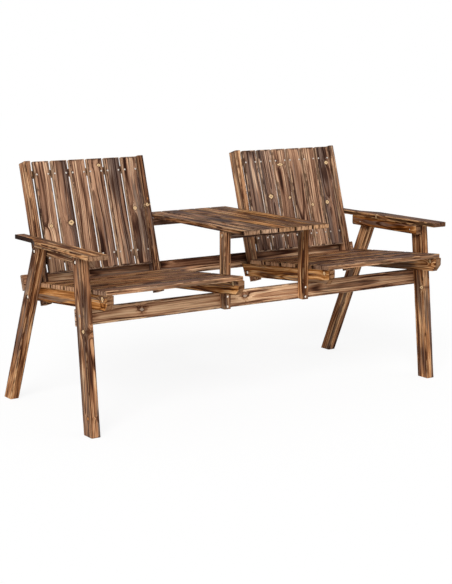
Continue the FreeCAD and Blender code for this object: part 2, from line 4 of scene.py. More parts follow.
import bmesh
import bpy
import numpy as np
from mathutils import Matrix, Vector, noise


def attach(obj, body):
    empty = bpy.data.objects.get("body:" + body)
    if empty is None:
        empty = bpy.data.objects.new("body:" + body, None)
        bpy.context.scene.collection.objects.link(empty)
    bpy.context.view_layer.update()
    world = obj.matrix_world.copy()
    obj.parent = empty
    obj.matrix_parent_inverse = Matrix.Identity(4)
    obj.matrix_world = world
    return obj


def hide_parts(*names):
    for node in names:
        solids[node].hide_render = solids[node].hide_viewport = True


# Companion seat bench in scorched, brushed and varnished fir, on a white studio floor.
# Metres, in the frame of the solids.

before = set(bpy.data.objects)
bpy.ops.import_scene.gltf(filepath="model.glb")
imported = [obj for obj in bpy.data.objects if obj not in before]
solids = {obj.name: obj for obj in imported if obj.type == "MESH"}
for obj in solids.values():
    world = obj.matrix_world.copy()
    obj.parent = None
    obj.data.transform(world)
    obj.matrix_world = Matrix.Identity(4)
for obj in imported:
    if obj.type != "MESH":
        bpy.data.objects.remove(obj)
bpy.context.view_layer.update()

# Angles of the boards, in degrees, as in the solids
FRONT_LEG_LEAN = 5.84
REAR_LEG_LEAN = 24.28
SEAT_SLOPE = 4.66
BACK_LEAN = 16.7


def leaning(degrees):
    """Upright direction leaning back by an angle, and the level one square to it, towards the back."""
    a = math.radians(degrees)
    return Vector((0, math.sin(a), math.cos(a))), Vector((0, math.cos(a), -math.sin(a)))


X, Y, Z = Vector((1, 0, 0)), Vector((0, 1, 0)), Vector((0, 0, 1))
FRONT_UP, FRONT_BACK = leaning(FRONT_LEG_LEAN)
REAR_UP, REAR_BACK = leaning(-REAR_LEG_LEAN)
BACK_UP, BACK_BACK = leaning(BACK_LEAN)
SEAT_UP, SEAT_BACK = leaning(SEAT_SLOPE)

# Each kind of board: the directions along its grain, across its wide face and through its thickness
KINDS = {
    "front_leg": (FRONT_UP, FRONT_BACK, X),
    "rear_leg": (REAR_UP, REAR_BACK, X),
    "arm_rail": (Y, Z, X),
    "armrest": (Y, X, Z),
    "seat_rail": (SEAT_BACK, SEAT_UP, X),
    "back_stile": (BACK_UP, BACK_BACK, X),
    "back_rail": (X, BACK_UP, BACK_BACK),
    "back_slat": (BACK_UP, X, BACK_BACK),
    "seat_slat": (X, SEAT_BACK, SEAT_UP),
    "front_stretcher": (X, FRONT_UP, FRONT_BACK),
    "rear_stretcher": (X, BACK_UP, BACK_BACK),
    "table_post": (Z, Y, X),
    "table_rail": (X, Z, Y),
    "table_board": (Y, X, Z),
}


def kind_of(name):
    return next(kind for kind in KINDS if kind in name)


def linear(rgb):
    """Linear colour from one written as it should look on screen."""
    return tuple(c / 12.92 if c <= 0.04045 else ((c + 0.055) / 1.055) ** 2.4 for c in rgb) + (1.0,)


# Colours of the wood and metal, as seen on screen
WOOD_TONES = ((0.00, (0.150, 0.070, 0.030)), (0.18, (0.270, 0.150, 0.080)), (0.36, (0.400, 0.262, 0.168)),
              (0.52, (0.520, 0.362, 0.245)), (0.68, (0.645, 0.465, 0.320)), (0.84, (0.780, 0.595, 0.425)),
              (1.00, (0.900, 0.745, 0.570)))
CHARCOAL = linear((0.430, 0.362, 0.328))
SOOT = linear((0.225, 0.140, 0.100))
BURNT_EDGE = linear((0.185, 0.085, 0.045))
# Pale of rubbed edges, which is wear, and of narrow faces where they show, which is partly wear and partly a painted
# highlight
WEAR_AND_HIGHLIGHT = linear((0.840, 0.675, 0.500))
CREAM = linear((0.930, 0.790, 0.600))
ORANGE = linear((0.760, 0.520, 0.310))
DARK_KNOT = linear((0.160, 0.080, 0.045))
GREY_KNOT = linear((0.760, 0.690, 0.620))
KNOT_RIM = linear((0.260, 0.130, 0.070))
# Painted shade for the walls of bores and for the narrow faces inside the gaps between boards
HOLLOW_SHADE = linear((0.100, 0.055, 0.040))
END_PALE = linear((0.860, 0.700, 0.560))
END_DARK = linear((0.205, 0.105, 0.065))
ZINC = linear((0.88, 0.84, 0.79))
ZINC_DULL = linear((0.64, 0.61, 0.58))
BOLT = linear((1.00, 0.95, 0.89))
BOLT_DULL = linear((0.84, 0.79, 0.73))

# Kinds of knots: colour of the core, then how strongly its tails, rim, heart and core show
KNOT_KINDS = {
    "cream": (CREAM, 0.25, 0.70, 1.0, 0.95),
    "orange": (ORANGE, 0.25, 0.70, 1.0, 0.95),
    "dark": (DARK_KNOT, 0.25, 0.70, 1.0, 0.95),
    "grey": (GREY_KNOT, 0.12, 0.30, 0.4, 0.75),
}
# A knot's kind, widening and whether it is on the narrow face, where its board's look doesn't say
PLAIN_KNOT = ("cream", 1.15, False)

# The wood's patterns, as noise drawn out along the grain: repeats per metre along and across it, a shift that sets it
# apart from the others, detail and roughness
WANDER_ACROSS = (2.6, 7.0, 0.0, 1.0, 0.5)
WANDER_THROUGH = (1.7, 5.0, 31.0, 0.0, 0.5)
STREAKS = (2.8, 215.0, 13.0, 3.0, 0.65)
PATCHES = (2.4, 36.0, 19.0, 2.0, 0.5)
BLOTCHES = (5.5, 13.0, 29.0, 2.0, 0.55)
FIBRES = (11.0, 760.0, 0.0, 2.0, 0.65)
GLEAMS = (9.0, 40.0, 0.0, 1.0, 0.5)
TICKS = (30.0, 620.0, 5.0, 1.0, 0.5)
RAGGED = (17.0, 50.0, 0.0, 3.0, 0.6)
CHIPS = (36.0, 30.0, 0.0, 2.0, 0.5)
CHIPPED = (8.0, 12.0, 3.0, 0.0, 0.5)

# Repeats per metre of what follows the growth rings, and of the stripes on sawn ends
RINGS_UNEVEN = 90.0
BANDS = 95.0
LINES = 150.0
END_STRIPES = 85.0

# How fully each mark covers the wood's colour
COVERS = {"char": 0.86, "burn": 0.80, "nick": 0.90, "rub": 0.75, "end": 0.85, "bore": 0.90}

# How far in from an edge its burn, nicks and rubbing reach, in metres
BURN_REACH = (0.0012, 0.0085)
NICK_REACH = (0.004, 0.009)
RUB_REACH = 0.0022

# Where a table board's narrow faces stop getting painted shade, behind its front end, and where a seat slat gets
# painted shade, towards its rear edge beside the gap, as shares of the board's half length and half width
DARK_FRONT_ENDS = (-0.97, -0.86)
DARK_REAR_EDGE = (0.55, 0.85)

# The wood's middle tone, from 0 dark to 1 pale, how much its varnish shines, and how metallic the fixings are
MIDDLE_TONE = 0.615
WOOD_SHEEN = 0.04
METALNESS = 0.7

# Strength of the bumps and their height in metres
WOOD_BUMP = (0.55, 0.0006)
METAL_BUMP = (0.25, 0.0001)

# The solids' meshes: how near points are one, in metres, and how level faces are one
WELD_WITHIN = 1e-5
LEVEL_WITHIN = math.radians(0.5)

# How to tell a board's outer edges from its holes: bends in radians, area in square metres and depth in metres
OUTER_BEND = 0.4
HOLE_BEND = (0.01, 0.9)
HOLE_AREA = 3e-4
HOLE_DEPTH = 0.0003

# The boards' rounded edges and their wear, in metres, and the wear's repeats per metre along, across and through
EDGE_ROUNDING = 0.0019
EDGE_ZONE = 0.0017
EDGE_WEAR = 0.0011
WEAR_SPACING = 0.045
WEAR_REPEATS = (22, 40, 40)

# Faces that meet at less than this shade as one surface, in radians
BOARD_SMOOTH = 0.62
FIXING_SMOOTH = 0.7
NUT_SMOOTH = 0.6

# Fixings, in millimetres: radius of the shank, radius of the head and, for a bolt, height of the head
BOLT_SIZE = (2.99, 6.0, 4.0)
SLAT_SCREW_SIZE = (1.99, 3.69)
FRAME_SCREW_SIZE = (2.49, 4.19)
AROUND = 32      # points round a fixing

# The cross nuts' sharp rims, in radians, and their chamfers, in metres
NUT_RIM_BEND = 1.2
NUT_CHAMFER = 0.00025


class Tree:
    """Short ways to write shader nodes."""

    def __init__(self, tree):
        self.tree = tree

    def add(self, kind, *inputs, **settings):
        node = self.tree.nodes.new(kind)
        for key, value in settings.items():
            setattr(node, key, value)
        for place, value in enumerate(inputs):
            self.put(node.inputs[place], value)
        return node

    def put(self, socket, value):
        if isinstance(value, bpy.types.NodeSocket):
            self.tree.links.new(value, socket)
        elif value is not None:
            socket.default_value = value

    def math(self, operation, a, b=None, c=None, clamp=False):
        return self.add("ShaderNodeMath", a, b, c, operation=operation, use_clamp=clamp).outputs[0]

    def plus(self, *values):
        total = values[0]
        for value in values[1:]:
            total = self.math("ADD", total, value)
        return total

    def times(self, *values):
        total = values[0]
        for value in values[1:]:
            total = self.math("MULTIPLY", total, value)
        return total

    def ramp(self, value, low, high, to_low=0.0, to_high=1.0):
        """Smooth step from low to high."""
        node = self.add("ShaderNodeMapRange", value, low, high, to_low, to_high, interpolation_type="SMOOTHSTEP")
        return node.outputs[0]

    def vector(self, x, y, z):
        return self.add("ShaderNodeCombineXYZ", x, y, z).outputs[0]

    def parts(self, vector):
        node = self.add("ShaderNodeSeparateXYZ", vector)
        return node.outputs[0], node.outputs[1], node.outputs[2]

    def noise(self, x, y, z, detail=2.0, roughness=0.5):
        node = self.add("ShaderNodeTexNoise", self.vector(x, y, z))
        node.inputs["Scale"].default_value = 1.0
        node.inputs["Detail"].default_value = detail
        node.inputs["Roughness"].default_value = roughness
        return node.outputs[0]

    def mix(self, factor, a, b):
        node = self.tree.nodes.new("ShaderNodeMix")
        node.data_type = "RGBA"
        self.put(node.inputs[0], factor)
        self.put(node.inputs[6], a)
        self.put(node.inputs[7], b)
        return node.outputs[2]

    def bump(self, height, strength, distance):
        node = self.add("ShaderNodeBump")
        node.inputs["Strength"].default_value = strength
        node.inputs["Distance"].default_value = distance
        self.put(node.inputs["Height"], height)
        return node.outputs[0]


def new_material(name):
    """A material, its tree and its shader."""
    material = bpy.data.materials.new(name)
    material.use_nodes = True
    return material, Tree(material.node_tree), material.node_tree.nodes["Principled BSDF"]


def new_group(name, inputs, outputs):
    """Node group whose inputs and outputs are lists of (name, kind)."""
    group = bpy.data.node_groups.new(name, "ShaderNodeTree")
    for label, kind in inputs:
        group.interface.new_socket(label, in_out="INPUT", socket_type="NodeSocket" + kind)
    for label, kind in outputs:
        group.interface.new_socket(label, in_out="OUTPUT", socket_type="NodeSocket" + kind)
    start = group.nodes.new("NodeGroupInput")
    end = group.nodes.new("NodeGroupOutput")
    return group, Tree(group), start.outputs, end.inputs


def knot_group():
    """A knot: how far it bends the rings, its pale core, its dark rim and its dark tails along the grain."""
    group, t, i, o = new_group(
        "fir_knot",
        [("Grain", "Vector"), ("Along", "Float"), ("Across", "Float"), ("Radius", "Float"), ("Wide", "Float")],
        [("Bend", "Float"), ("Core", "Float"), ("Rim", "Float"), ("Tail", "Float"), ("Heart", "Float")])
    u, v, w = t.parts(i["Grain"])
    du = t.math("SUBTRACT", u, i["Along"])
    dv = t.math("SUBTRACT", v, i["Across"])
    uneven = t.noise(t.times(u, 120.0), t.times(v, 120.0), t.times(w, 30.0), 1.0)
    size = t.times(i["Radius"], t.ramp(uneven, 0.25, 0.75, 0.84, 1.18))
    a = t.math("POWER", t.math("DIVIDE", t.math("ABSOLUTE", du), size), 1.4)
    b = t.math("POWER", t.math("DIVIDE", t.math("ABSOLUTE", dv), t.times(size, i["Wide"])), 1.4)
    d = t.math("POWER", t.plus(a, b), 0.714)
    t.put(o["Bend"], t.times(t.math("EXPONENT", t.times(d, d, -0.16)), i["Radius"], 0.55))
    t.put(o["Core"], t.ramp(d, 0.82, 1.08, 1.0, 0.0))
    t.put(o["Rim"], t.times(t.ramp(d, 0.80, 1.05), t.ramp(d, 1.05, 1.6, 1.0, 0.0)))
    along = t.math("DIVIDE", du, t.times(i["Radius"], 3.4))
    across = t.math("DIVIDE", dv, t.times(i["Radius"], i["Wide"], 0.7))
    tail = t.math("EXPONENT", t.times(t.plus(t.times(along, along), t.times(across, across)), -1.0))
    t.put(o["Tail"], tail)
    rings = t.ramp(t.math("FRACT", t.times(d, 2.2)), 0.45, 0.95)
    t.put(o["Heart"], t.plus(t.times(rings, 0.42), t.ramp(d, 0.12, 0.42, 0.75, 0.0)))
    return group


def fir_group():
    """Brushed, scorched fir. Grain is metres along, across and through the board, from its middle."""
    group, t, i, o = new_group(
        "scorched_fir",
        [("Grain", "Vector"), ("Seed", "Float"), ("Bend", "Float"), ("Pith Across", "Float"), ("Pith Depth", "Float"),
         ("Ring", "Float"), ("Char", "Float"), ("Honey", "Float"), ("Bold", "Float"), ("Burn", "Float"),
         ("Pale Ends", "Float"), ("Gaps", "Float"), ("Pale Sides", "Float"), ("Worn", "Float"), ("Warm", "Float"),
         ("Hue", "Float"), ("Wander", "Float"), ("Streaks", "Float"), ("Nicks", "Float"), ("Half", "Vector"),
         ("End", "Float"), ("Bore", "Float")],
        [("Colour", "Color"), ("Roughness", "Float"), ("Height", "Float")])
    seed = i["Seed"]
    u, v, w = t.parts(i["Grain"])

    def off_middle(value):
        return t.math("SUBTRACT", value, 0.5)

    def drawn_out(pattern, wavy=True):
        """Noise drawn out along the grain. A wavy one follows the grain's wander."""
        along, across, shift, detail, roughness = pattern
        place_v, place_w = (v1, w1) if wavy else (v, w)
        return t.noise(t.plus(t.times(u, along), seed, shift), t.times(place_v, across), t.times(place_w, across),
                       detail, roughness)

    # The grain wanders slowly along the board
    v1 = t.plus(v, t.times(off_middle(drawn_out(WANDER_ACROSS, wavy=False)), i["Wander"]))
    w1 = t.plus(w, t.times(off_middle(drawn_out(WANDER_THROUGH, wavy=False)), i["Wander"]))

    # Growth rings round a pith line beside the board. Their dark late wood differs from year to year.
    from_v = t.math("SUBTRACT", v1, i["Pith Across"])
    from_w = t.math("SUBTRACT", w1, i["Pith Depth"])
    radius = t.math("SQRT", t.plus(t.times(from_v, from_v), t.times(from_w, from_w)))
    radius = t.plus(radius, i["Bend"])
    uneven = t.noise(t.plus(t.times(radius, RINGS_UNEVEN), seed), t.times(u, 1.5), 3.0, 1.0)
    count = t.plus(t.math("DIVIDE", radius, i["Ring"]), t.times(uneven, 2.4))
    phase = t.math("FRACT", count)
    year = t.plus(t.math("FLOOR", count), seed)
    strength = t.add("ShaderNodeTexWhiteNoise", None, year, noise_dimensions="1D").outputs[0]
    strength = t.times(t.ramp(strength, 0.1, 1.0, 0.15, 1.0),
                       t.ramp(t.noise(t.plus(t.times(u, 5.0), year), 0.0, 0.0, 1.0), 0.3, 0.65, 0.35, 1.0))
    late = t.times(t.ramp(phase, 0.35, 0.90), t.ramp(phase, 0.94, 1.0, 1.0, 0.0), strength)

    # Bands and lines follow the rings; streaks, patches, fibres and ticks follow the board
    band = off_middle(t.noise(t.plus(t.times(u, 1.1), seed, 7.0), t.times(radius, BANDS), 1.0, 2.0, 0.6))
    streak = t.times(off_middle(drawn_out(STREAKS)), i["Streaks"])
    patch = off_middle(drawn_out(PATCHES))
    blotch = t.times(off_middle(drawn_out(BLOTCHES, wavy=False)), t.math("SUBTRACT", i["Bold"], 1.0))
    fibre = off_middle(drawn_out(FIBRES))
    line = t.noise(t.plus(t.times(u, 1.9), seed, 23.0), t.times(radius, LINES), t.times(w1, 20.0), 1.0)
    crease = t.ramp(t.math("ABSOLUTE", off_middle(line)), 0.0, 0.055, 1.0, 0.0)
    gleam = t.times(t.ramp(t.math("ABSOLUTE", t.math("SUBTRACT", line, 0.58)), 0.0, 0.03, 1.0, 0.0),
                    t.ramp(drawn_out(GLEAMS, wavy=False), 0.42, 0.60))
    tick = t.ramp(drawn_out(TICKS), 0.62, 0.74)

    # The wood's tone, from dark to pale
    broad = t.times(t.plus(t.times(band, 1.30), t.times(patch, 0.60)), i["Bold"], i["Streaks"])
    tone = t.plus(MIDDLE_TONE, broad, t.times(blotch, 0.65), t.times(streak, 1.5), t.times(fibre, 0.55), i["Honey"])
    tone = t.plus(tone, t.times(late, -0.42), t.times(crease, -0.46), t.times(gleam, 0.34), t.times(tick, -0.16))
    ramp = t.add("ShaderNodeValToRGB", tone)
    stops = ramp.color_ramp.elements
    stops[0].position, stops[0].color = WOOD_TONES[0][0], linear(WOOD_TONES[0][1])
    stops[1].position, stops[1].color = WOOD_TONES[-1][0], linear(WOOD_TONES[-1][1])
    for position, shade in WOOD_TONES[1:-1]:
        stops.new(position).color = linear(shade)
    colour = ramp.outputs[0]

    # Charcoal marks
    scorch = t.plus(t.times(streak, 1.1), t.times(patch, t.times(i["Bold"], 1.15)), t.times(late, 0.05),
                    t.times(blotch, -0.45), i["Char"])
    char = t.ramp(scorch, 0.03, 0.14)
    grain_in_char = t.ramp(t.plus(t.times(streak, 0.9), t.times(fibre, 1.0), t.times(late, -0.5),
                                  t.times(crease, -0.5), t.times(gleam, 0.3)), -0.34, 0.20)
    colour = t.mix(t.times(char, COVERS["char"]), colour, t.mix(grain_in_char, SOOT, CHARCOAL))

    # Edges: burnt dark in places, with small dark nicks, and rubbed pale in others
    half_u, half_v, half_w = t.parts(i["Half"])
    inset_u = t.math("SUBTRACT", half_u, t.math("ABSOLUTE", u))
    inset_v = t.math("SUBTRACT", half_v, t.math("ABSOLUTE", v))
    inset_w = t.math("SUBTRACT", half_w, t.math("ABSOLUTE", w))
    edge = t.math("MAXIMUM", t.math("MINIMUM", inset_v, inset_w),
                  t.math("MINIMUM", t.math("MAXIMUM", inset_v, inset_w), inset_u))
    ragged = drawn_out(RAGGED, wavy=False)
    reach = t.times(t.ramp(ragged, 0.32, 0.68, *BURN_REACH), i["Burn"])
    near = t.math("SUBTRACT", 1.0, t.math("DIVIDE", edge, reach), clamp=True)
    colour = t.mix(t.times(t.ramp(near, 0.0, 0.75), COVERS["burn"]), colour, BURNT_EDGE)
    chips = t.plus(drawn_out(CHIPS, wavy=False), t.times(i["Nicks"], 0.035))
    chipped = t.ramp(drawn_out(CHIPPED, wavy=False), 0.38, 0.55)
    nick = t.times(t.ramp(chips, 0.58, 0.62), chipped, t.ramp(edge, *NICK_REACH, 1.0, 0.0), i["Nicks"])
    colour = t.mix(t.times(nick, COVERS["nick"]), colour, SOOT)
    rubbed = t.ramp(t.math("DIVIDE", edge, t.times(i["Worn"], RUB_REACH)), 0.25, 1.0, 1.0, 0.0)
    rubbed = t.times(rubbed, t.ramp(ragged, 0.46, 0.58, 1.0, 0.0))
    colour = t.mix(t.times(rubbed, COVERS["rub"]), colour, WEAR_AND_HIGHLIGHT)

    # Sawn ends are striped, and bores get painted shade
    stripe = t.noise(t.plus(t.times(v1, END_STRIPES), seed), t.times(w1, 12.0), t.times(u, 3.0), 3.0, 0.8)
    pale = t.times(t.ramp(stripe, 0.36, 0.56), i["Pale Ends"])
    pale = t.times(pale, t.ramp(edge, 0.0002, 0.0022, 0.35, 1.0))
    end_colour = t.mix(pale, END_DARK, END_PALE)
    end_colour = t.mix(t.times(late, 0.55), end_colour, END_DARK)
    colour = t.mix(t.times(i["End"], COVERS["end"]), colour, end_colour)
    colour = t.mix(t.times(i["Bore"], COVERS["bore"]), colour, HOLLOW_SHADE)

    # Inside gaps the narrow faces get painted shade; where they show they are paler, partly from wear and partly a
    # painted highlight
    narrow = t.ramp(inset_v, 0.0001, 0.0012, 1.0, 0.0)
    colour = t.mix(t.times(narrow, i["Pale Sides"], t.ramp(ragged, 0.35, 0.6)), colour, WEAR_AND_HIGHLIGHT)
    colour = t.mix(t.times(narrow, i["Gaps"], t.ramp(ragged, 0.3, 0.7, 0.6, 1.0)), colour, HOLLOW_SHADE)

    warmer = t.add("ShaderNodeHueSaturation", i["Hue"], i["Warm"])
    t.put(warmer.inputs["Color"], colour)
    t.put(o["Colour"], warmer.outputs[0])
    t.put(o["Roughness"], t.plus(0.56, t.times(char, 0.10), t.times(fibre, 0.5), t.times(i["End"], 0.2)))
    t.put(o["Height"], t.plus(t.times(late, 0.5), t.times(fibre, 0.9), t.times(tick, -0.25), t.times(ragged, 0.2),
                              t.times(crease, -0.5), t.times(nick, -0.8)))
    return group


KNOT_GROUP = knot_group()
FIR_GROUP = fir_group()


# How a board looks. char, how much of it is charcoal, and honey, how pale it is, are (everywhere, more across, more
# along). knots are (along, across, radius) in millimetres from the board's middle, then a kind, a widening and
# whether on the narrow face. bold is the contrast of broad streaks and streaks that of all streaks, wander how far
# the grain strays in metres, burn and worn the widths of burnt and rubbed edges, and nicks how many nicks they have.
# ends is the share of pale end grain, gaps how much painted shade darkens the narrow faces inside gaps and pale how
# pale they are where they show, partly wear and partly a painted highlight, slot 1 where they get painted shade at the
# front end whatever gaps says, rear how much painted shade darkens the rear edge, warm the colour's strength and hue
# its hue.
DEFAULT_LOOK = dict(char=(0, 0, 0), honey=(0, 0, 0), knots=(), bold=1.0, streaks=1.0, wander=0.026, burn=1.0,
                    worn=1.0, nicks=0.3, ends=1.0, gaps=0.0, pale=0.0, slot=0.0, rear=0.0, warm=1.0, hue=0.4955)


def group_node(t, group, **values):
    node = t.tree.nodes.new("ShaderNodeGroup")
    node.node_tree = group
    for key, value in values.items():
        t.put(node.inputs[key.replace("_", " ")], value)
    return node


def leaning_value(t, amounts, across, along):
    everywhere, more_across, more_along = amounts
    return t.plus(t.times(across, more_across), t.times(along, more_along), everywhere)


def fir_material(name, look, half, number):
    """Material of one board. half is its half length, half width and half thickness."""
    material, t, shader = new_material("fir_" + name)
    grain = t.add("ShaderNodeAttribute", attribute_name="grain").outputs["Vector"]
    end = t.add("ShaderNodeAttribute", attribute_name="end_grain").outputs["Fac"]
    bore = t.add("ShaderNodeAttribute", attribute_name="bore").outputs["Fac"]
    u, v, w = t.parts(grain)
    across = t.math("DIVIDE", v, half[1])
    along = t.math("DIVIDE", u, half[0])

    turned_grain = t.vector(u, w, v)
    knots = []
    bend = 0.0
    for spot in look.knots:
        kind, wide, on_edge = tuple(spot[3:]) + PLAIN_KNOT[len(spot) - 3:]
        knot = group_node(t, KNOT_GROUP, Grain=turned_grain if on_edge else grain, Along=spot[0] / 1000,
                          Across=spot[1] / 1000, Radius=spot[2] / 1000, Wide=wide).outputs
        knots.append((kind, knot))
        if not on_edge:
            bend = t.plus(bend, knot["Bend"])
    random = np.random.default_rng(7000 + number)
    pith = (random.uniform(-0.9, 0.9) * half[1], random.choice([-1, 1]) * random.uniform(0.009, 0.045))
    ring = random.uniform(0.0034, 0.0056)
    honey = leaning_value(t, look.honey, across, along)
    # Painted shade towards a seat slat's rear edge, beside the gap behind it
    if look.rear:
        honey = t.plus(honey, t.ramp(across, *DARK_REAR_EDGE, 0.0, -look.rear))
    # Painted shade on the narrow faces inside gaps, and on a table board's front end whatever gaps says
    gaps = t.ramp(along, *DARK_FRONT_ENDS, 1.0, look.gaps) if look.slot else look.gaps
    wood = group_node(
        t, FIR_GROUP, Grain=grain, Seed=float(random.uniform(0, 90)), Bend=bend, Pith_Across=pith[0],
        Pith_Depth=pith[1], Ring=ring, Char=leaning_value(t, look.char, across, along), Honey=honey,
        Bold=look.bold, Burn=look.burn, Pale_Ends=look.ends, Gaps=gaps, Pale_Sides=look.pale, Worn=look.worn,
        Warm=look.warm, Hue=look.hue, Wander=look.wander, Streaks=look.streaks, Nicks=look.nicks,
        Half=tuple(half), End=end, Bore=bore)
    colour, rough, height = wood.outputs["Colour"], wood.outputs["Roughness"], wood.outputs["Height"]
    for kind, knot in knots:
        core, tail, rim, heart, strength = KNOT_KINDS[kind]
        colour = t.mix(t.times(knot["Tail"], tail), colour, SOOT)
        colour = t.mix(t.times(knot["Rim"], rim), colour, KNOT_RIM)
        core = t.mix(t.times(knot["Heart"], heart), core, KNOT_RIM)
        colour = t.mix(t.times(knot["Core"], strength), colour, core)
        height = t.plus(height, t.times(knot["Core"], 0.6))
    t.put(shader.inputs["Base Color"], colour)
    t.put(shader.inputs["Roughness"], rough)
    shader.inputs["Specular IOR Level"].default_value = WOOD_SHEEN
    t.put(shader.inputs["Normal"], t.bump(height, *WOOD_BUMP))
    return material


# Looks of the kinds of boards, then what differs on single boards, as the photograph shows them
PLAIN_LOOKS = {
    "back_rail": dict(char=(0.05, 0, 0), honey=(-0.20, 0, 0), warm=1.15),
    "back_slat": dict(burn=1.35, worn=1.5, nicks=1.0, pale=0.7, warm=0.88),
    "back_stile": dict(bold=1.3, nicks=0.8),
    "leg": dict(bold=1.4, warm=1.06),
    "seat_rail": dict(bold=1.6, ends=0.4, warm=1.16),
    "table_post": dict(bold=1.4, warm=1.08),
    "arm_rail": dict(bold=1.5, ends=0.4, warm=1.15),
    "armrest": dict(bold=2.2, burn=1.5, worn=2.4, nicks=0.8, warm=1.08),
    "seat_slat": dict(char=(0.02, 0.06, 0), bold=1.75, streaks=1.25, burn=1.6, worn=1.8, ends=0.9, gaps=1.0, rear=0.5,
                      warm=1.12, hue=0.494),
    "table_board": dict(char=(0.03, 0, 0), bold=2.3, burn=1.3, ends=0.9, gaps=1.0, slot=1.0, warm=1.08, hue=0.497),
    "front_stretcher": dict(bold=0.5, wander=0.008, warm=0.96),
    "rear_stretcher": dict(bold=1.6, wander=0.012, warm=0.95),
}
